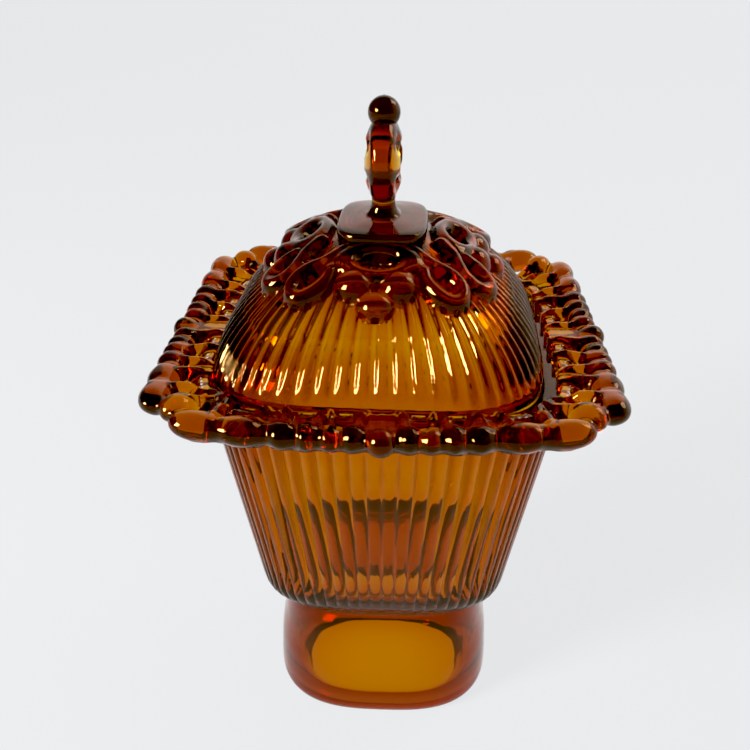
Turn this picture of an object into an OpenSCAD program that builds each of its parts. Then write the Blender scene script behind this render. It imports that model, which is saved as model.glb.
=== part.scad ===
// Square footed powder jar in pressed glass: a fluted bowl on a hollow foot with an
// openwork lace rim, and a fluted domed lid with a flat pierced finial. Units are mm,
// the foot stands on z = 0 and the vertical axis of the jar is the z axis.

/* [Foot] */
// half width of the foot across its flats
foot_half = 45.7; // [38:0.1:55]
// height at which the foot meets the bowl
foot_h = 52; // [40:0.5:60]
// wall of the hollow foot
foot_wall = 6; // [4:0.5:9]

/* [Bowl] */
// half width of the bowl where its flutes start, above the rounded bottom
bowl_low_half = 48.3; // [42:0.1:54]
// half width of the bowl at its mouth, outside
bowl_top_half = 63.1; // [58:0.1:68]
// height of the mouth, where the lid rests
bowl_h = 153; // [130:0.5:170]
// half width of the cavity at the mouth
mouth_half = 55.4; // [50:0.1:57]
// number of flutes around the bowl
flutes = 88; // [64:4:112]
// depth of a flute
flute_depth = 0.7; // [0.4:0.1:1.2]

/* [Lace rim] */
// half width of the opening that the lid drops into
seat_half = 61; // [60.8:0.1:62]
// outer half width of the plain inner band of the lace
band_half = 64.5; // [62:0.1:67]
// distance from the axis to the middle of the edge beads at the middle of a side
bead_half = 77.9; // [72:0.1:84]
// radius of an edge bead
bead_r = 4.6; // [3.5:0.1:5.5]
// height of the bead centres at the middle of a side
bead_z = 156.2; // [150:0.1:162]
// how much higher the beads stand at the corners
corner_rise = 3.6; // [0:0.1:6]

/* [Lid] */
// half width of the lid's plain edge
lid_half = 58.6; // [56:0.1:58.8]
// height of the lid's shoulder above its edge
dome_h = 44; // [36:0.5:52]
// wall of the lid
lid_wall = 3.6; // [3:0.1:5]
// height at which the plain edge gives way to the flutes
edge_top = 157.4; // [156:0.1:160]
// height of the joint between the fluted shoulder and the ornamented crown
crown_z = 180; // [176:0.5:184]

// number of flutes around the lid
lid_flutes = 72; // [56:4:96]
// how far the lid is turned in its seat, in degrees
lid_turn = -1.8; // [-2:0.1:2]
// how far the lid sits off the middle of its seat
lid_shift = -1.5; // [-1.5:0.1:1.5]

/* [Finial] */
// width of the collar under the finial
collar_w = 32; // [26:0.5:38]
// length of the collar, along the broad side of the finial
collar_l = 42; // [34:0.5:50]
// height of the collar's top
collar_top = 202.3; // [198:0.1:206]
// diameter of the pierced medallion
medal_d = 29; // [24:0.5:34]
// thickness of the medallion in its middle
medal_t = 14; // [10:0.5:16]
// diameter of the eye through the medallion
eye_d = 10; // [6:0.5:12]
// diameter of the ball on top
ball_d = 11.4; // [8:0.1:13]

/* [Hidden] */
gap = 0.3;
spoke_w = 3.4;
ring_n = 2 * flutes;
lid_n = 2 * lid_flutes;
dome_z0 = edge_top - 1.4;
dome_p = 1.6;
plateau_z = 194;
medal_z = 223.2;
ball_z = 239.1;
amber = [0.72, 0.36, 0.04];
amber_dark = [0.5, 0.2, 0.02];

// angle of point i out of m, spread evenly along the four sides of a square
function side_angle(i, m) =
    let (s = floor(4 * i / m), u = 4 * i / m - s) 90 * s + atan(2 * u - 1);

// radius of a rounded square of half width 1 and exponent n, at the angle th
function rounded(th, n) =
    pow(pow(abs(cos(th)), n) + pow(abs(sin(th)), n), -1 / n);

// one closed outline: s = [z, half width, exponent, flute depth]
function ring(s, m) = [
    for (i = [0 : m - 1])
        let (th = side_angle(i, m),
             r = s[1] * rounded(th, s[2]) - (i % 2 == 0 ? 0 : s[3]))
        [r * cos(th), r * sin(th), s[0]]
];

// solid through a list of outlines, capped at both ends, or run round into a hoop
module loft(sections, m, hoop = false) {
    last = len(sections) - 1;
    points = [for (s = sections) each ring(s, m)];
    walls = [
        for (k = [0 : last - 1], i = [0 : m - 1])
            let (j = (i + 1) % m)
            each [[k * m + i, (k + 1) * m + i, (k + 1) * m + j],
                  [k * m + i, (k + 1) * m + j, k * m + j]]
    ];
    join = [
        for (i = [0 : m - 1])
            let (j = (i + 1) % m)
            each [[last * m + i, i, j], [last * m + i, j, last * m + j]]
    ];
    caps = [[for (i = [0 : m - 1]) i], [for (i = [m - 1 : -1 : 0]) last * m + i]];
    polyhedron(points = points, faces = concat(walls, hoop ? join : caps));
}

// half width and exponent of the lid's outside at the height z
function dome_half(z) =
    lid_half * pow(1 - pow((z - dome_z0) / dome_h, dome_p), 1 / dome_p);
function dome_n(z) = 4.2 - 0.6 * (z - dome_z0) / dome_h;

// half width of the lid's inside at the height z
function inside_half(z) =
    (lid_half - lid_wall) * pow(1 - pow((z - dome_z0) / (dome_h - lid_wall), dome_p), 1 / dome_p);

// height of the lid's outside where its half width is a
function dome_z(a) = dome_z0 + dome_h * pow(1 - pow(a / lid_half, dome_p), 1 / dome_p);

// half width of the bowl's outside at the height z, on its straight part
function bowl_half(z) =
    bowl_low_half + (bowl_top_half - bowl_low_half) * (z - 62) / (bowl_h - 62);

// beads of half a side, from its middle to the corner:
// [along the side, distance from the axis, half length along the side]
beads = [
    [8.4, -1.7, 0], [14.8, -1.6, 0], [22, -1.9, 0],
    [30, -2.1, 0], [43, -2.7, 3.4], [57.4, -3.9, 3.2]
];
corner_at = 65.8;

module foot() {
    color(amber)
    loft([
        [foot_h - 2.2, 16, 2.4, 0],
        [foot_h - 3.2, 26, 2.6, 0],
        [foot_h - 5.4, 32, 2.75, 0],
        [foot_h - 11, foot_half - 5 - foot_wall, 2.8, 0],
        [30, foot_half - 2.7 - foot_wall, 2.9, 0],
        [13, foot_half - 0.7 - foot_wall, 2.9, 0],
        [5, foot_half - 2.2 - foot_wall, 2.9, 0],
        [0, foot_half - 5.2 - foot_wall, 2.9, 0],
        [0, foot_half - 2.6, 2.9, 0],
        [0.8, foot_half - 1.1, 2.9, 0],
        [2.6, foot_half - 0.2, 2.9, 0],
        [7, foot_half, 2.9, 0],
        [15, foot_half - 0.3, 2.9, 0],
        [22, foot_half - 0.9, 2.95, 0],
        [28, foot_half - 1.8, 3, 0],
        [34, foot_half - 2.8, 3.1, 0],
        [42, foot_half - 3.6, 3.2, 0],
        [foot_h, foot_half - 4.2, 3.4, 0]
    ], 72);
}

module bowl() {
    color(amber)
    loft([
        [foot_h, foot_half - 4.2, 3.4, 0],
        [foot_h + 1.2, 42.9, 3.6, 0],
        [foot_h + 3.5, 44.7, 3.9, 0],
        [foot_h + 6.5, 46.4, 4.3, 0],
        [foot_h + 9.5, 47.8, 4.7, 0],
        [foot_h + 12, bowl_half(foot_h + 12), 5, 0],
        [foot_h + 14, bowl_half(foot_h + 14), 5, flute_depth],
        [148, bowl_half(148), 5, flute_depth],
        [150.5, bowl_half(150.5), 5, 0],
        [bowl_h, bowl_top_half, 5, 0],
        [bowl_h, mouth_half, 5, 0],
        [66, 43.9, 4.5, 0],
        [60, 41.6, 4, 0],
        [56.2, 38.2, 3.6, 0],
        [54.2, 32, 3.2, 0]
    ], ring_n);
}

module bead(along, out, half) {
    rise = corner_rise * pow(along / corner_at, 2);
    translate([out, along, bead_z + rise])
    rotate([90, 0, -2 - along / 5]) {
        if (half > 0) {
            translate([0, 0, -half])
            cylinder(r = bead_r, h = 2 * half, $fn = 40);
        }
        for (k = half > 0 ? [-1, 1] : [0]) {
            translate([0, 0, k * half])
            sphere(r = bead_r, $fn = 40);
        }
    }
}

// flat web of the lace: plain inner band, radial spokes and the chain under the beads
module web_outline() {
    difference() {
        polygon([for (i = [0 : 95]) let (p = ring([0, band_half, 5, 0], 96)[i]) [p[0], p[1]]]);
        polygon([for (i = [0 : 95]) let (p = ring([0, seat_half, 5, 0], 96)[i]) [p[0], p[1]]]);
    }
}

module spoke(along, out) {
    from = [band_half - 1, along * 0.88];
    d = [out, along] - from;
    translate(from)
    rotate(atan2(d[1], d[0]))
    translate([0, -spoke_w / 2])
    square([norm(d), spoke_w]);
}

module web_side() {
    spoke(0, bead_half);
    for (b = beads, k = [-1, 1]) {
        spoke(k * b[0], bead_half + b[1]);
    }
    spoke(corner_at, corner_at);
    for (k = [-1, 1], i = [0 : len(beads)]) {
        a = i == 0 ? [0, bead_half] : [beads[i - 1][0], bead_half + beads[i - 1][1]];
        b = i == len(beads) ? [corner_at, corner_at] : [beads[i][0], bead_half + beads[i][1]];
        d = [b[1] - a[1], k * (b[0] - a[0])];
        translate([a[1], k * a[0]])
        rotate(atan2(d[1], d[0]))
        translate([0, -1.8])
        square([norm(d), 3.6]);
    }
}

module lace_rim() {
    color(amber)
    union() {
        translate([0, 0, bowl_h])
        linear_extrude(height = 5)
        union() {
            web_outline();
            for (q = [0 : 3]) {
                rotate(90 * q) web_side();
            }
        }
        for (q = [0 : 3]) {
            rotate(90 * q) {
                bead(0, bead_half, 0);
                bead(corner_at, corner_at, 0);
                for (b = beads, k = [-1, 1]) {
                    bead(k * b[0], bead_half + b[1], b[2]);
                }
            }
        }
    }
}

module lid_rim() {
    color(amber)
    seated()
    loft([
        [bowl_h + gap, lid_half - 0.9, 4.2, 0],
        [bowl_h + gap + 0.8, lid_half, 4.2, 0],
        [edge_top, dome_half(edge_top), dome_n(edge_top), 0],
        [edge_top, inside_half(edge_top), dome_n(edge_top), 0],
        [bowl_h, lid_half - 7.6, 4.2, 0],
        [bowl_h - 3.4, lid_half - 8.6, 4.2, 0],
        [bowl_h - 3.4, lid_half - 6.4, 4.2, 0],
        [bowl_h + gap, lid_half - 6, 4.2, 0]
    ], 96, true);
}

module lid_shoulder() {
    color(amber)
    seated()
    loft(concat(
        [[edge_top, dome_half(edge_top), dome_n(edge_top), 0]],
        [[160.2, dome_half(160.2), dome_n(160.2), 0]],
        [for (z = [161.4, 165, 170, 175, crown_z]) [z, dome_half(z), dome_n(z), flute_depth]],
        [for (z = [crown_z, 175, 169, 163, edge_top]) [z, inside_half(z), dome_n(z), 0]]
    ), lid_n, true);
}

// put a part of the lid where the lid rests in the seat
module seated() {
    translate([lid_shift, 0, 0])
    rotate(lid_turn)
    children();
}

// place a raised ornament on the dome at the angle th, with its middle at half width a
module on_dome(th, a) {
    slope = atan2(dome_z(a - 1) - dome_z(a + 1), 2);
    r = a * rounded(th, dome_n(dome_z(a)));
    rotate(th)
    translate([r, 0, dome_z(a)])
    rotate([0, slope, 0])
    children();
}

module loop(r) {
    rotate_extrude($fn = 32)
    translate([r, 0])
    circle(r = 1.7, $fn = 20);
}

module lid_crown() {
    color(amber)
    seated()
    union() {
        loft(concat(
            [for (z = [190, 187, 183.5, crown_z]) [z, inside_half(z), dome_n(z), 0]],
            [for (z = [crown_z, 184, 187]) [z, dome_half(z), dome_n(z), flute_depth]],
            [for (z = [188.5, 191.5, plateau_z]) [z, dome_half(z), dome_n(z), 0]]
        ), 96);
        for (q = [0 : 3]) {
            on_dome(90 * q, 26.5) loop(4.6);
            on_dome(90 * q, 37.5) sphere(r = 3.1, $fn = 32);
            on_dome(90 * q - 14, 33) sphere(r = 3.1, $fn = 32);
            on_dome(90 * q + 14, 33) sphere(r = 3.1, $fn = 32);
            on_dome(90 * q + 45, 27.5) loop(6.4);
            on_dome(90 * q + 35, 34.5) sphere(r = 3.1, $fn = 32);
            on_dome(90 * q + 55, 34.5) sphere(r = 3.1, $fn = 32);
        }
    }
}

module finial_collar() {
    r = 9;
    color(amber_dark)
    seated()
    translate([0, 0, plateau_z])
    linear_extrude(height = collar_top - plateau_z)
    union() {
        square([collar_w - 2 * r, collar_l], center = true);
        square([collar_w, collar_l - 2 * r], center = true);
        for (x = [-1, 1], y = [-1, 1]) {
            translate([x * (collar_w / 2 - r), y * (collar_l / 2 - r)])
            circle(r = r, $fn = 48);
        }
    }
}

module medal_section() {
    big = medal_d / 2;
    eye = eye_d / 2;
    half = [for (k = [0 : 10])
        let (r = eye + (big - eye) * sin(9 * k))
        [r, medal_t / 2 * sqrt(1 - pow(r / big, 2)) * (k == 0 ? 0.55 : k == 1 ? 0.85 : 1)]];
    polygon(concat(half, [for (k = [9 : -1 : 0]) [half[k][0], -half[k][1]]]));
}

module finial_medallion() {
    color(amber)
    seated()
    intersection() {
        union() {
            translate([0, 0, medal_z])
            rotate([0, 90, 0])
            rotate_extrude($fn = 72)
            medal_section();
            translate([0, 0, collar_top])
            cylinder(r1 = 5.6, r2 = 4.5, h = 7.6, $fn = 48);
        }
        translate([-20, -20, collar_top])
        cube([40, 40, ball_z - ball_d / 2 + 1 - collar_top]);
    }
}

module finial_ball() {
    color(amber_dark)
    seated()
    intersection() {
        translate([0, 0, ball_z])
        sphere(r = ball_d / 2, $fn = 64);
        translate([-20, -20, ball_z - ball_d / 2 + 1])
        cube([40, 40, 40]);
    }
}

foot();
bowl();
lace_rim();
lid_rim();
lid_shoulder();
lid_crown();
finial_collar();
finial_medallion();
finial_ball();
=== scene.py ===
import math

import bpy
import numpy as np
from mathutils import Matrix, Quaternion, Vector


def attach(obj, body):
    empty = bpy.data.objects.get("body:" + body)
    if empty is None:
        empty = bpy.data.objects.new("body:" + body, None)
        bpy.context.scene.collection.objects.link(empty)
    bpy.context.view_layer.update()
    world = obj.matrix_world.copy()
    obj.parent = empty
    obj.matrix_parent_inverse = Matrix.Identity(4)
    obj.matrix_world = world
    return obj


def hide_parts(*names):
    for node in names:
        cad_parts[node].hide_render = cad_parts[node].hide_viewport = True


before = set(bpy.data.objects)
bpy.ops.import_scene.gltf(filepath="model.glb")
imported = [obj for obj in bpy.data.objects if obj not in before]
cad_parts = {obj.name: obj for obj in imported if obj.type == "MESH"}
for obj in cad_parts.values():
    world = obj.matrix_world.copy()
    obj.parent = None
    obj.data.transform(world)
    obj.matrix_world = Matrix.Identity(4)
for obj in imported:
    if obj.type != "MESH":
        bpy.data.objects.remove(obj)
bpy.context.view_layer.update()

MM = 0.001
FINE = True

# ---------------------------------------------------------------- sizes, in millimetres
FOOT_H = 52.0
BOWL_LOW, BOWL_TOP, BOWL_H = 48.3, 63.1, 153.0
LID, DOME_Z, DOME_H, DOME_P, WALL = 59.2, 156.0, 44.0, 1.65, 4.0
LID_TURN, LID_SHIFT = -1.8, -1.9
# the dome is thinner by DIMPLE under the collar and thicker by HEAVY_EDGE near its base
DIMPLE, HEAVY_EDGE = 5.2, 3.0
MEDAL_Z, BALL_Z, BALL_R = 223.2, 239.1, 5.6


# ---------------------------------------------------------------- mesh building
def outline(m):
    """Angles and places along the side, -1 to 1, of m points spread evenly along four sides."""
    i = np.arange(m)
    u = (4 * i / m) % 1
    th = np.radians(90) * (4 * i // m) + np.arctan(2 * u - 1)
    return th, 2 * u - 1


def rounded(th, n):
    """Radius of a rounded square of half width 1 and exponent n."""
    return (np.abs(np.cos(th)) ** n + np.abs(np.sin(th)) ** n) ** (-1 / n)


def eased(points, step):
    """A list of (z, half width, exponent, rib depth) with a smooth curve put through it."""
    p = np.array(points, float)
    out = []
    for k in range(len(p) - 1):
        a, b, c, d = p[max(k - 1, 0)], p[k], p[k + 1], p[min(k + 2, len(p) - 1)]
        length = math.hypot(c[0] - b[0], c[1] - b[1])
        before = math.hypot(b[0] - a[0], b[1] - a[1]) or length
        after = math.hypot(d[0] - c[0], d[1] - c[1]) or length
        m0 = length * ((c - b) / length * before + (b - a) / before * length) / (before + length)
        m1 = length * ((d - c) / after * length + (c - b) / length * after) / (after + length)
        count = max(1, int(math.ceil(length / step)))
        for j in range(count):
            t = j / count
            out.append((2 * t**3 - 3 * t**2 + 1) * b + (t**3 - 2 * t**2 + t) * m0
                       + (3 * t**2 - 2 * t**3) * c + (t**3 - t**2) * m1)
    out.append(p[-1])
    return np.array(out)


def grid_normals(p):
    """Outward normals of a grid of rings; the rings run anticlockwise, from the inside out."""
    along = np.roll(p, -1, 1) - np.roll(p, 1, 1)
    up = np.empty_like(p)
    up[1:-1] = p[2:] - p[:-2]
    up[0], up[-1] = p[1] - p[0], p[-1] - p[-2]
    n = np.cross(along, up)
    return n / np.maximum(np.linalg.norm(n, axis=2, keepdims=True), 1e-9)


def grid_mesh(name, p, closed=False):
    """A closed mesh from a grid of rings, capped at both ends or run round into a hoop."""
    rows, m = p.shape[:2]
    i = np.arange(m)
    j = (i + 1) % m
    k = np.arange(rows if closed else rows - 1)[:, None]
    k2 = (k + 1) % rows
    quads = np.stack([k * m + i, k * m + j, k2 * m + j, k2 * m + i], 2).reshape(-1, 4)
    faces = [tuple(q) for q in quads.tolist()]
    if not closed:
        faces += [tuple(i[::-1].tolist()), tuple(((rows - 1) * m + i).tolist())]
    return mesh_object(name, p.reshape(-1, 3), faces)


def mesh_object(name, points, faces):
    mesh = bpy.data.meshes.new(name)
    mesh.from_pydata((np.asarray(points) * MM).tolist(), [], faces)
    mesh.validate()
    o = bpy.data.objects.new(name, mesh)
    bpy.context.scene.collection.objects.link(o)
    return o


def nets(name, field, low, high, h):
    """A closed mesh of the surface where the field is zero, one corner to each cell it crosses."""
    axes = [np.arange(a, b + h, h) for a, b in zip(low, high)]
    v = field(*np.meshgrid(*axes, indexing="ij"))
    size = v.size
    total, count, quads = np.zeros((3, size)), np.zeros(size), []
    for a in range(3):
        b, c = (a + 1) % 3, (a + 2) % 3
        first = [slice(None)] * 3
        second = [slice(None)] * 3
        first[a], second[a] = slice(0, -1), slice(1, None)
        v0, v1 = v[tuple(first)], v[tuple(second)]
        cross = (v0 < 0) != (v1 < 0)
        at = np.argwhere(cross)
        e0, e1 = v0[cross], v1[cross]
        p = at.astype(float)
        p[:, a] += e0 / (e0 - e1)
        cells = []
        for db, dc in ((-1, -1), (0, -1), (0, 0), (-1, 0)):
            q = at.copy()
            q[:, b] += db
            q[:, c] += dc
            flat = np.ravel_multi_index(tuple(q.T), v.shape)
            cells.append(flat)
            count += np.bincount(flat, minlength=size)
            for k in range(3):
                total[k] += np.bincount(flat, weights=p[:, k], minlength=size)
        quad = np.stack(cells, 1)
        out = e0 >= 0
        quad[out] = quad[out][:, ::-1]
        quads.append(quad)
    used = count > 0
    points = (total[:, used] / count[used]).T * h + np.array(low)
    index = np.cumsum(used) - 1
    return mesh_object(name, points, index[np.concatenate(quads)].tolist())


def unite(a, *others):
    """Melts the others into a, so that one closed casting is left."""
    for b in others:
        m = a.modifiers.new("join", "BOOLEAN")
        m.operation, m.object, m.solver = "UNION", b, "MANIFOLD"
        dg = bpy.context.evaluated_depsgraph_get()
        mesh = bpy.data.meshes.new_from_object(a.evaluated_get(dg))
        a.modifiers.clear()
        a.data = mesh
        bpy.data.objects.remove(b)
    return a


def finish_glass(o, angle):
    o.data.shade_smooth()
    o.data.set_sharp_from_angle(angle=math.radians(angle))
    return o


def smin(a, b, k):
    """Union of two fields with a soft joint about k wide."""
    t = np.clip(0.5 + 0.5 * (b - a) / k, 0, 1)
    return b * (1 - t) + a * t - k * t * (1 - t)


def smax(a, b, k):
    return -smin(-a, -b, k)


def soft(x, a, b):
    """0 at a, 1 at b, smooth between."""
    t = np.clip((x - a) / (b - a), 0, 1)
    return t * t * (3 - 2 * t)


def rib(u, count, bite):
    """Rounded ribs side by side along a side, 0 in the groove and 1 on the crest."""
    w = 2 * (((u + 1) / 2 * count) % 1) - 1
    low = math.sqrt(1 - bite)
    return (np.sqrt(1 - bite * w * w) - low) / (1 - low)


def rings(sections, m):
    th, u = outline(m)
    s = np.asarray(sections)
    r = np.stack([row[1] * rounded(th, row[2]) for row in s])
    z = np.repeat(s[:, :1], m, 1)
    return np.stack([r * np.cos(th), r * np.sin(th), z], 2), u


# ---------------------------------------------------------------- the jar
def bowl_half(z):
    return BOWL_LOW + (BOWL_TOP - BOWL_LOW) * (z - 62) / (BOWL_H - 62)


def jar_body():
    m = 88 * (9 if FINE else 4)
    step = 2.0 if FINE else 4.0
    hollow = eased([
        (50.0, 4, 2.1, 0), (49.8, 16, 2.4, 0), (48.8, 26, 2.6, 0), (46.6, 32, 2.75, 0),
        (41, 34.7, 2.8, 0), (30, 37.0, 2.9, 0), (20, 38.6, 2.9, 0), (13, 39.0, 2.9, 0),
        (8, 38.6, 2.9, 0), (4, 37.2, 2.9, 0), (1.2, 35.4, 2.9, 0), (0, 34.9, 2.9, 0),
    ], step)
    outside = eased([
        (0, 42.4, 2.9, 0), (0.9, 44.4, 2.9, 0), (2.8, 45.5, 2.9, 0), (7, 45.7, 2.9, 0),
        (15, 45.4, 2.9, 0), (22, 44.8, 2.95, 0), (28, 43.9, 3, 0), (34, 42.9, 3.1, 0),
        (42, 42.1, 3.2, 0), (FOOT_H - 0.4, 41.2, 3.4, 0),
    ], step)
    bottom = eased([
        (FOOT_H + 0.2, 41.7, 3.4, 0), (FOOT_H + 1.2, 43.0, 3.6, 0), (FOOT_H + 3.5, 44.8, 3.9, 0.1),
        (FOOT_H + 6.5, 46.5, 4.3, 0.5), (FOOT_H + 9.5, 47.8, 4.7, 0.9), (66, bowl_half(66), 5, 1.0),
    ], step)
    wall = [(z, bowl_half(z), 5, 1.0) for z in np.linspace(69, 147, 9)]
    top = [(149.5, bowl_half(149.5), 5, 0.6), (BOWL_H, BOWL_TOP, 5, 0), (154.2, 62.6, 5, 0)]
    inside = eased([
        (154.2, 61.9, 5, 0), (153.0, 61.2, 5, 0), (153.0, 56.6, 5, 0), (152.4, 55.6, 5, 0),
        (140, 55.3, 5, 0), (126, 54.6, 4.9, 0),
        (110, 52.6, 4.9, 0), (84, 48.4, 4.85, 0), (70, 45.8, 4.7, 0), (63, 43.6, 4.3, 0),
        (58.5, 40.6, 3.8, 0), (55.8, 37.4, 3.5, 0), (54.4, 32, 3.1, 0), (54.0, 20, 2.6, 0), (53.9, 5, 2.2, 0),
    ], 2 * step)
    s = np.concatenate([hollow, outside, bottom, wall, top, inside])
    p, u = rings(s, m)
    n = grid_normals(p)
    p += n * (s[:, 3, None] * (rib(u, 22, 0.8)[None] - 1))[:, :, None] * 0.72
    return grid_mesh("jar_body", p)


# beads of half a side of the lace: along the side, out from the axis, half sizes along, out and up
BEADS = (
    (0.0, 78.0, 4.8, 4.6, 4.8), (8.8, 76.2, 3.6, 4.6, 4.5), (15.6, 76.8, 4.0, 4.4, 4.4),
    (22.8, 76.2, 4.0, 4.9, 4.7), (30.6, 76.2, 4.9, 4.8, 4.6), (43.2, 75.6, 8.6, 5.2, 4.8),
    (57.6, 74.6, 8.4, 5.2, 4.7),
)
# ridges of half a side: where they leave the inner band, where they reach the edge, crest height
RIDGES = ((5.6, 7.6, 3.6), (17.2, 21.6, 3.7), (31.0, 29.8, 3.9), (37.4, 41.0, 3.9), (50.6, 53.4, 3.9))


def lace_field(x, y, z):
    ax, ay = np.abs(x), np.abs(y)
    s, r = np.minimum(ax, ay), np.maximum(ax, ay)
    level = (ax**5 + ay**5) ** 0.2
    lift = 3.4 * (s / 65.8) ** 2 * soft(level, 62, 72)
    zz = z - 156.0 - lift
    # inner band, its outer edge sloping down into the openings
    f = smax(np.abs(level - 63.4 - 0.35 * (158 - z)) - 1.4 - 0.35 * (158 - z), np.abs(z - 154.7) - 2.3, 0.8)
    # chain under the beads
    chain = 75.2 - 2.8 * (s / 65.8) ** 2
    tube = np.hypot(np.hypot(np.maximum(s - 62, 0), r - chain), zz + 0.8) - 3.3
    f = smin(f, tube, 1.4)
    # ridges, narrow at the crest and wide at the foot
    for a0, a1, crest in RIDGES:
        t = np.clip((r - 61) / 15, 0, 1.1)
        mid = a0 + (a1 - a0) * t
        high = 2.2 + (crest - 2.2) * soft(t, 0, 0.25) - 0.9 * np.sin(np.pi * np.clip(t, 0, 1)) * t
        wide = 1.0 + 0.34 * np.clip(high - zz, 0, 9) + 0.5 * t
        wedge = (np.abs(s - mid) - wide) * 0.92
        wedge = smax(wedge, zz - high, 1.3)
        wedge = smax(wedge, -zz - 4.0, 1.0)
        wedge = np.maximum(wedge, np.maximum(r - 77, 61 - level))
        f = smin(f, wedge, 1.9)
    # a solid tongue behind the middle bead, and between the third and fourth ridges
    for a, w, top in ((0.0, 5.4, 2.2), (33.8, 3.4, 1.6)):
        slab = np.maximum(np.abs(s - a) - w, np.maximum(r - 76, 61 - level))
        slab = smax(slab, np.abs(zz + 1.0) - top, 1.0)
        f = smin(f, slab, 1.4)
    # beads
    for a, out, sa, so, sz in BEADS:
        d = np.sqrt(((s - a) / sa) ** 2 + ((r - out) / so) ** 2 + (zz / sz) ** 2)
        f = smin(f, (d - 1) * min(sa, so, sz), 1.9)
    # corner bead and its ridge
    u, w = (ax + ay) / math.sqrt(2), (ax - ay) / math.sqrt(2)
    zc = z - 156.0 - 3.4
    d = np.sqrt(((u - 92.4) / 6.2) ** 2 + (w / 5.0) ** 2 + (zc / 4.7) ** 2)
    f = smin(f, (d - 1) * 4.7, 1.9)
    t = np.clip((u - 78) / 14, 0, 1)
    wedge = (np.abs(w) - 1.0 - 0.34 * np.clip(3.6 - zz, 0, 9) - 0.5 * t) * 0.92
    wedge = smax(smax(wedge, zz - 2.4 - 1.2 * t, 1.3), -zz - 4.0, 1.0)
    wedge = np.maximum(wedge, np.maximum(u - 94, 61 - level))
    return smin(f, wedge, 1.2)


def seat_teeth():
    """The toothed lip round the opening that the lid rests in."""
    m = 4 * 48 * (8 if FINE else 4)
    th, u = outline(m)
    tooth = 0.5 + 0.5 * np.cos(np.pi * (u + 1) * 48)
    section = [(154.0, 65.2, 0), (156.6, 65.4, 0), (157.2, 64.8, 0.2), (157.0, 63.9, 0.9), (156.2, 62.9, 1.0),
               (154.9, 62.0, 0.6), (153.4, 61.5, 0), (152.4, 61.7, 0)]
    rows = []
    for z, a, cut in section:
        r = a * rounded(th, 5)
        rows.append(np.stack([r * np.cos(th), r * np.sin(th), z - 0.7 * cut * tooth], 1))
    return grid_mesh("seat_teeth", np.array(rows)[::-1], closed=True)


# ---------------------------------------------------------------- the lid
def dome_z(t):
    return DOME_Z + DOME_H * np.maximum(1 - t**DOME_P, 0) ** (1 / DOME_P)


def tube_relief(d, radius, height):
    """Height of a rounded cord lying on the glass, at the distance d from its middle line."""
    return height * np.clip(1 - (d / radius) ** 2, 0, 1) ** 0.85


def path_distance(x, y, path):
    best = np.full(x.shape, 1e9)
    for (x0, y0), (x1, y1) in zip(path[:-1], path[1:]):
        dx, dy = x1 - x0, y1 - y0
        t = np.clip(((x - x0) * dx + (y - y0) * dy) / (dx * dx + dy * dy), 0, 1)
        best = np.minimum(best, np.hypot(x - x0 - t * dx, y - y0 - t * dy))
    return best


def curve_through(points, count=10):
    p = np.array(points, float)
    p = np.vstack([2 * p[0] - p[1], p, 2 * p[-1] - p[-2]])
    out = []
    for k in range(1, len(p) - 2):
        a, b, c, d = p[k - 1 : k + 3]
        for j in range(count):
            t = j / count
            out.append(0.5 * (2 * b + (c - a) * t + (2 * a - 5 * b + 4 * c - d) * t * t
                              + (3 * b - a - 3 * c + d) * t**3))
    out.append(p[-2])
    return out


def ornament(x, y):
    """Height of the raised lace on the crown above the plain dome."""
    ax, ay = np.abs(x), np.abs(y)
    p, q = np.minimum(ax, ay), np.maximum(ax, ay)
    h = np.zeros(x.shape)
    # ring, two bulbs and a tip on the middle of each side
    e = np.hypot(p / 11.2, (q - 25.4) / 5.6)
    h = smax(h, tube_relief((e - 1) * 6.4, 3.6, 4.6), 0.5)
    bulb = np.clip(1 - ((p - 7.4) / 7.3) ** 2 - ((q - 33.2) / 5.6) ** 2, 0, 1)
    h = smax(h, 5.4 * bulb**0.75, 0.4)
    tip = np.clip(1 - (p / 6.6) ** 2 - ((q - 39.6) / 4.5) ** 2, 0, 1)
    h = np.maximum(h, 4.6 * tip**0.7)
    # two curled cords either side of each diagonal
    u, w = (ax + ay) / math.sqrt(2), np.abs(ax - ay) / math.sqrt(2)
    cord = curve_through([(22.5, 6.0), (26.5, 5.6), (30.5, 4.9), (34.5, 3.0), (38.5, 1.9), (42.6, 2.6),
                          (44.8, 5.6), (43.6, 8.8), (39.5, 10.6), (34.5, 10.8), (31.0, 9.0)])
    h = smax(h, tube_relief(path_distance(u, w, cord), 3.3, 4.2), 0.6)
    inner = curve_through([(31.5, 0.4), (34.0, 1.6), (36.5, 3.9)])
    h = smax(h, tube_relief(path_distance(u, w, inner), 2.3, 2.4), 0.6)
    hollow = np.clip(1 - ((u - 38.6) / 5) ** 2 - ((w - 6.6) / 3) ** 2, 0, 1)
    eye = np.clip(1 - ((u - 29.4) / 5) ** 2 - (w / 3.4) ** 2, 0, 1)
    pit = np.clip(1 - (p / 8.6) ** 2 - ((q - 25.2) / 3.4) ** 2, 0, 1)
    return h - 1.2 * np.sqrt(hollow) * (h < 0.4) - 1.2 * eye**0.7 - 1.3 * pit**0.7


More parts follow.
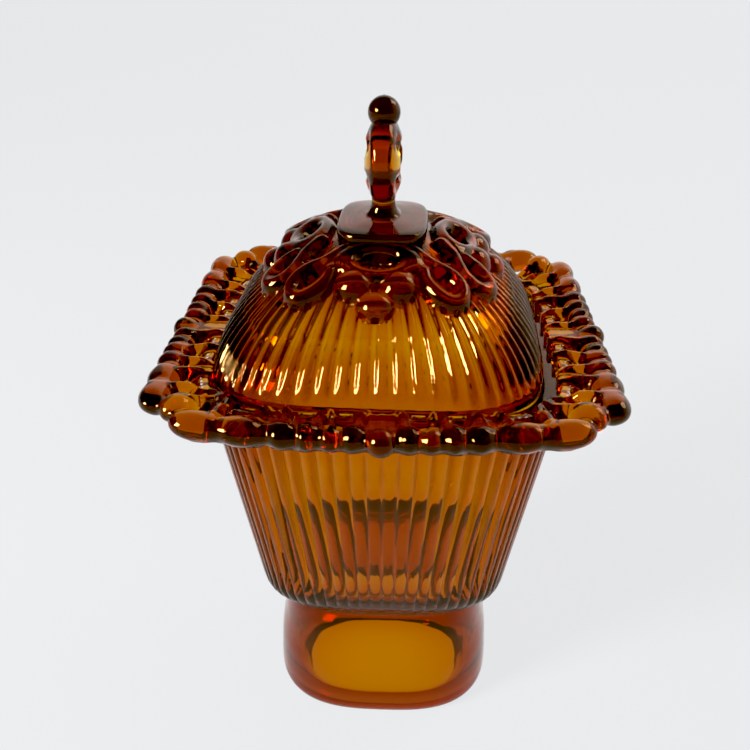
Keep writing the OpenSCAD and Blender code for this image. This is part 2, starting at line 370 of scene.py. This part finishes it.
def lid_shell():
    m = 72 * (12 if FINE else 6)
    th, u = outline(m)
    fine = 0.62 if FINE else 1.3
    flutes = [t for t in np.arange(0.997, 0.80, -0.012 if FINE else -0.03)]
    crown = [t for t in np.arange(0.80, 0.24, -fine / LID)]
    cap = [0.2, 0.12, 0.03]
    outer_t = np.array(flutes + crown + cap)
    oz = dome_z(outer_t)
    outer = np.stack([oz, LID * outer_t, 4.2 - 0.6 * (oz - DOME_Z) / DOME_H, 0 * oz], 1)
    t_in = np.array([0.03, 0.12, 0.17, 0.21, 0.25, 0.29, 0.33, 0.37, 0.42, 0.47, 0.52, 0.6,
                     0.67, 0.73, 0.78, 0.83, 0.87, 0.905, 0.935, 0.96, 0.98, 0.995])
    iz = DOME_Z + (DOME_H - WALL) * np.maximum(1 - t_in**DOME_P, 0) ** (1 / DOME_P)
    iz += DIMPLE * (1 - soft(t_in, 0.16, 0.40))
    inner = np.stack([iz, (LID - WALL) * t_in - HEAVY_EDGE * soft(t_in, 0.80, 0.97),
                      4.2 - 0.6 * np.minimum(iz - DOME_Z, 40) / DOME_H, 0 * iz], 1)
    lip = np.array([
        (154.8, LID - 5.2, 4.2, 0), (152.6, LID - 7.6, 4.2, 0), (150.6, LID - 8.4, 4.2, 0),
        (149.7, LID - 8.2, 4.2, 0), (149.6, LID - 7.4, 4.2, 0), (149.9, LID - 6.6, 4.2, 0),
        (150.8, LID - 6.3, 4.2, 0), (152.8, LID - 5.9, 4.2, 0), (153.3, LID - 5.3, 4.2, 0),
        (153.3, LID - 1.4, 4.2, 0), (153.5, LID - 0.6, 4.2, 0), (154.1, LID - 0.1, 4.2, 0),
        (155.4, LID, 4.2, 0),
    ])
    s = np.concatenate([inner, lip, outer])
    p, u = rings(s, m)
    n = grid_normals(p)
    start = len(inner) + len(lip)
    x, y, z = p[:, :, 0], p[:, :, 1], p[:, :, 2]
    reach = np.hypot(x, y) / rounded(th, s[:, 2, None])
    depth = 1.35 * soft(z, 159.8, 161.8) * soft(reach, 17, 30)
    relief = ornament(x, y)
    depth = depth * (1 - soft(relief, 0.1, 1.0))
    place = np.abs(2 * (((u + 1) * 9) % 1) - 1)
    ridge = np.clip(1 - (place / 0.74) ** 2, 0, 1) ** 0.85
    move = depth * (ridge[None] - 1) + np.where(reach < 48, relief, 0)
    move[:start] = 0
    p += n * move[:, :, None]
    return grid_mesh("lid_shell", p)


def collar_mesh():
    """The rounded block that carries the finial, its top slightly raised towards the neck."""
    m = 160 if FINE else 80
    th = np.linspace(0, 2 * np.pi, m, endpoint=False)
    rows = []
    for z, inset, n in ((190.5, 7.5, 3.6), (190.5, 0.6, 3.6), (196, 0.25, 3.7), (200.6, 0, 3.8),
                        (201.6, 0.15, 3.8), (202.1, 0.5, 3.8), (202.35, 1.2, 3.8), (202.6, 3.4, 3.6),
                        (203.0, 6.6, 3.2), (203.5, 9.6, 2.6)):
        a, b = 16 - inset, 21 - inset
        r = ((np.abs(np.cos(th)) / a) ** n + (np.abs(np.sin(th)) / b) ** n) ** (-1 / n)
        rows.append(np.stack([r * np.cos(th), r * np.sin(th), np.full(m, z)], 1))
    return grid_mesh("collar", np.array(rows))


def finial_field(x, y, z):
    # neck with a foot fillet
    rad = np.hypot(x, y)
    t = np.clip((z - 201) / 10, 0, 1)
    neck = smax(rad - (4.7 - 0.8 * t + 3.0 * np.exp(-np.maximum(z - 202.6, 0) / 1.8)),
                np.abs(z - 206) - 5, 0.4)
    # pierced medallion, lens shaped, its broad sides facing +X and -X
    rho = np.hypot(y, z - MEDAL_Z)
    lens = np.sqrt(np.clip(1 - (rho / 15.0) ** 2, 0, 1))
    half = 7.2 * lens ** 0.95 + 0.2 * np.exp(-((x * 0 + rho - 14.0) / 2.0) ** 2)
    turn = np.arctan2(y, z - MEDAL_Z)
    recess = 2.2 * np.exp(-((rho - 9.2) / 1.9) ** 2) * np.clip(np.sin(2 * turn) ** 2 - 0.25, 0, 1)
    disc = smax((np.abs(x) - half + recess) * 0.8, rho - 14.7, 0.8)
    disc = smax(disc, 6.4 - rho, 1.6)
    cup = np.sqrt(x * x + y * y + (z - BALL_Z + BALL_R + 0.6) ** 2) - 2.2
    return smin(smin(neck, disc, 1.6), cup, 1.2)


def finial_mesh():
    h = 0.42 if FINE else 0.8
    return nets("finial", finial_field, (-9.5, -17.0, 199.6), (9.5, 17.0, 247.0), h)


def ball_mesh():
    """The ball on top, with the thin line that the mould leaves over it."""
    m, rows = 192, 97
    th = np.linspace(0, 2 * np.pi, m, endpoint=False)
    up = np.linspace(-np.pi / 2 + 0.02, np.pi / 2 - 0.02, rows)[:, None]
    x, y = np.cos(up) * np.cos(th), np.cos(up) * np.sin(th)
    r = BALL_R + 0.16 * np.exp(-((x * BALL_R / 0.32) ** 2))
    return grid_mesh("ball_glass", np.stack([r * x, r * y, BALL_Z + r * np.sin(up) + 0 * x], 2))


def seat_lid(o):
    """Turns and shifts the lid as it lies in its seat."""
    turn = Matrix.Translation((LID_SHIFT * MM, 0, 0)) @ Matrix.Rotation(math.radians(LID_TURN), 4, "Z")
    o.data.transform(turn)
    return o


# ---------------------------------------------------------------- glass
CLEAR = (1, 1, 1, 1)
# painted shade: darker tints put on the lace's beads and the lid's crown, standing in for the shade there
BEAD_PAINTED_SHADE = (0.72, 0.50, 0.36, 1)
CROWN_PAINTED_SHADE = (0.72, 0.45, 0.32, 1)
SHEEN_TINT = (0.95, 0.45, 0.12, 1)
AMBER = (0.9617, 0.8875, 0.0, 1)
AMBER_DENSITY = 2000


def set_stops(ramp, stops):
    for k, (at, color) in enumerate(stops):
        e = ramp.elements[k] if k < 2 else ramp.elements.new(at)
        e.position, e.color = at, color


def glass(name, seed, wobble, dense=1.0, painted_shade_zones=()):
    """Clear amber glass; the last argument holds "reach" or "height" and the stops of a darker tint painted
    on there as shade, in metres.
    """
    mat = bpy.data.materials.new(name)
    mat.use_nodes = True
    nt = mat.node_tree
    nodes, link = nt.nodes, nt.links.new
    bsdf = nodes["Principled BSDF"]
    bsdf.inputs["Transmission Weight"].default_value = 1.0
    bsdf.inputs["IOR"].default_value = 1.51
    bsdf.inputs["Specular Tint"].default_value = SHEEN_TINT
    coords = nodes.new("ShaderNodeTexCoord")
    # painted shade: a zone of a casting, the lace's beads or the lid's crown, is tinted darker, chosen by its
    # reach from the axis or by its height
    split = nodes.new("ShaderNodeSeparateXYZ")
    link(coords.outputs["Object"], split.inputs[0])
    edge = [nodes.new("ShaderNodeMath") for _ in range(3)]
    for k in (0, 1):
        edge[k].operation = "ABSOLUTE"
        link(split.outputs[k], edge[k].inputs[0])
    edge[2].operation = "MAXIMUM"
    link(edge[0].outputs[0], edge[2].inputs[0])
    link(edge[1].outputs[0], edge[2].inputs[1])
    if painted_shade_zones:
        axis, stops = painted_shade_zones
        painted_shade_ramp = nodes.new("ShaderNodeValToRGB")
        set_stops(painted_shade_ramp.color_ramp, stops)
        link(split.outputs["Z"] if axis == "height" else edge[2].outputs[0], painted_shade_ramp.inputs["Fac"])
        link(painted_shade_ramp.outputs["Color"], bsdf.inputs["Base Color"])
    else:
        bsdf.inputs["Base Color"].default_value = CLEAR
    # fire polish: broad soft waves left by the mould, finer ones over them, a few dull specks
    broad = nodes.new("ShaderNodeTexNoise")
    broad.inputs["Scale"].default_value = 70
    broad.inputs["Detail"].default_value = 2
    fine = nodes.new("ShaderNodeTexNoise")
    fine.inputs["Scale"].default_value = 420
    fine.inputs["Detail"].default_value = 3
    place = nodes.new("ShaderNodeMapping")
    place.inputs["Location"].default_value = (seed, seed * 0.37, seed * 0.71)
    link(coords.outputs["Object"], place.inputs["Vector"])
    link(place.outputs["Vector"], broad.inputs["Vector"])
    link(place.outputs["Vector"], fine.inputs["Vector"])
    bump = nodes.new("ShaderNodeBump")
    bump.inputs["Strength"].default_value = 1.0
    bump.inputs["Distance"].default_value = wobble
    mix = nodes.new("ShaderNodeMath")
    mix.operation = "MULTIPLY_ADD"
    mix.inputs[1].default_value = 0.12
    link(fine.outputs["Fac"], mix.inputs[0])
    link(broad.outputs["Fac"], mix.inputs[2])
    link(mix.outputs[0], bump.inputs["Height"])
    link(bump.outputs["Normal"], bsdf.inputs["Normal"])
    rough = nodes.new("ShaderNodeMapRange")
    rough.inputs["From Min"].default_value = 0.35
    rough.inputs["From Max"].default_value = 0.75
    rough.inputs["To Min"].default_value = 0.012
    rough.inputs["To Max"].default_value = 0.05
    link(fine.outputs["Fac"], rough.inputs["Value"])
    link(rough.outputs["Result"], bsdf.inputs["Roughness"])
    tint = nodes.new("ShaderNodeVolumeAbsorption")
    tint.inputs["Color"].default_value = AMBER
    tint.inputs["Density"].default_value = AMBER_DENSITY * dense
    link(tint.outputs["Volume"], nodes["Material Output"].inputs["Volume"])
    return mat


# ---------------------------------------------------------------- pieces
jar = unite(jar_body(), seat_teeth(),
            nets("lace", lace_field, (-86.0, -86.0, 149.0), (86.0, 86.0, 166.0), 0.62 if FINE else 1.2))
jar.name = jar.data.name = "jar_glass"
lid = seat_lid(unite(lid_shell(), collar_mesh(), finial_mesh()))
lid.name = lid.data.name = "lid_glass"
ball = seat_lid(ball_mesh())
for piece, body, nodes_for in (
    (jar, "jar", ("foot", "bowl", "lace_rim")),
    (lid, "lid", ("lid_rim", "lid_shoulder", "lid_crown", "finial_collar", "finial_medallion")),
    (ball, "lid", ("finial_ball",)),
):
    finish_glass(piece, 50)
    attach(piece, body)
    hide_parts(*nodes_for)
jar.data.materials.clear()
# painted shade: the lace's beads, from 68 mm out from the axis and fully from 75 mm, are tinted darker
jar.data.materials.append(glass("amber_pressed_glass_jar", 0.0, 0.00012, 1.0, (
    "reach", ((0.068, CLEAR), (0.075, BEAD_PAINTED_SHADE)))))
lid.data.materials.clear()
# painted shade: the crown, from 181 to 195 mm up and darkest from 186 to 191 mm, is tinted darker
lid.data.materials.append(glass("amber_pressed_glass_lid", 3.1, 0.00010, 1.0, (
    "height", ((0.181, CLEAR), (0.186, CROWN_PAINTED_SHADE), (0.191, CROWN_PAINTED_SHADE), (0.195, CLEAR)))))
ball.data.materials.clear()
# painted shade: the ball's glass is five times as dense as the rest, a darker copy of the same amber
ball.data.materials.append(glass("amber_pressed_glass_ball_painted_shade", 5.2, 0.00006, 5.0))
print("faces", {o.name: (len(o.data.polygons), sum(len(p.vertices) - 2 for p in o.data.polygons))
                for o in (jar, lid, ball)})

# ---------------------------------------------------------------- floor, light, camera
# just under the jar's resting face, so that the two faces do not share a plane; one pale
# colour all over, which gives off its own even light
FLOOR_SIZE, FLOOR_DROP = 24, 0.0002
bpy.ops.mesh.primitive_plane_add(size=FLOOR_SIZE, location=(0, 0, -FLOOR_DROP))
floor = bpy.context.object
floor.name = "floor"
fm = bpy.data.materials.new("pale_floor")
fm.use_nodes = True
fb = fm.node_tree.nodes["Principled BSDF"]
fb.inputs["Base Color"].default_value = (0.03, 0.03, 0.03, 1)
fb.inputs["Roughness"].default_value = 0.9
fb.inputs["Emission Color"].default_value = (0.75, 0.76, 0.78, 1)
fb.inputs["Emission Strength"].default_value = 1.0
floor.data.materials.append(fm)

# the room: a soft bright side, a dim side and a dim ceiling
world = bpy.data.worlds.new("soft_room")
bpy.context.scene.world = world
world.use_nodes = True
back = world.node_tree.nodes["Background"]
around = world.node_tree.nodes.new("ShaderNodeTexCoord")
toward = world.node_tree.nodes.new("ShaderNodeVectorMath")
toward.operation = "DOT_PRODUCT"
toward.inputs[1].default_value = (0.65, 0.76, 0.0)
walls = world.node_tree.nodes.new("ShaderNodeMapRange")
walls.interpolation_type = "SMOOTHSTEP"
walls.inputs["From Min"].default_value, walls.inputs["From Max"].default_value = -0.05, 0.88
split = world.node_tree.nodes.new("ShaderNodeSeparateXYZ")
ceiling = world.node_tree.nodes.new("ShaderNodeMapRange")
ceiling.interpolation_type = "SMOOTHSTEP"
ceiling.inputs["From Min"].default_value, ceiling.inputs["From Max"].default_value = 0.90, 0.55
ceiling.inputs["To Min"].default_value, ceiling.inputs["To Max"].default_value = 0.0, 1.1
world.node_tree.links.new(around.outputs["Generated"], split.inputs[0])
world.node_tree.links.new(split.outputs["Z"], ceiling.inputs["Value"])
world.node_tree.links.new(around.outputs["Generated"], toward.inputs[0])
world.node_tree.links.new(toward.outputs["Value"], walls.inputs["Value"])
glow = world.node_tree.nodes.new("ShaderNodeMath")
glow.operation = "MULTIPLY_ADD"
glow.inputs[2].default_value = 0.12
world.node_tree.links.new(walls.outputs["Result"], glow.inputs[0])
world.node_tree.links.new(ceiling.outputs["Result"], glow.inputs[1])
world.node_tree.links.new(glow.outputs[0], back.inputs["Strength"])
back.inputs["Color"].default_value = (1.0, 0.93, 0.92, 1)


def area(name, at, aim, size, power, color=(1, 1, 1)):
    data = bpy.data.lights.new(name, "AREA")
    data.shape = "RECTANGLE"
    data.size, data.size_y = size
    data.energy = power
    data.color = color
    o = bpy.data.objects.new(name, data)
    bpy.context.scene.collection.objects.link(o)
    o.location = at
    o.rotation_euler = (Vector(aim) - Vector(at)).to_track_quat("-Z", "Y").to_euler()
    return o


area("window_left", (-0.98, -0.62, 0.54), (0, 0, 0.15), (0.34, 0.42), 46)
area("sky_right", (0.9, 0.5, 1.1), (0, 0, 0.15), (0.6, 0.6), 6, (1.0, 0.93, 0.88))

FOCAL_PX, FRAME_PX, CAMERA_ROLL = 877, 750, -0.24
cam_data = bpy.data.cameras.new("camera")
camera = bpy.data.objects.new("camera", cam_data)
bpy.context.scene.collection.objects.link(camera)
cam_data.sensor_width = 36
cam_data.lens = FOCAL_PX / FRAME_PX * cam_data.sensor_width
cam_data.clip_start, cam_data.clip_end = 0.01, 20
camera.location = (0.0066, -0.3045, 0.3011)
forward = Vector((-0.0326, 0.8807, -0.4726))
q = forward.to_track_quat("-Z", "Y")
q.rotate(Quaternion(forward.normalized(), math.radians(CAMERA_ROLL)))
camera.rotation_mode = "QUATERNION"
camera.rotation_quaternion = q
bpy.context.scene.camera = camera
view = bpy.context.scene.view_settings
view.view_transform = "Standard"
view.use_curve_mapping = True
view.curve_mapping.black_level = (0.008, 0.008, 0.014)
view.curve_mapping.update()
bpy.context.scene.cycles.max_bounces = 24
bpy.context.scene.cycles.transmission_bounces = 24
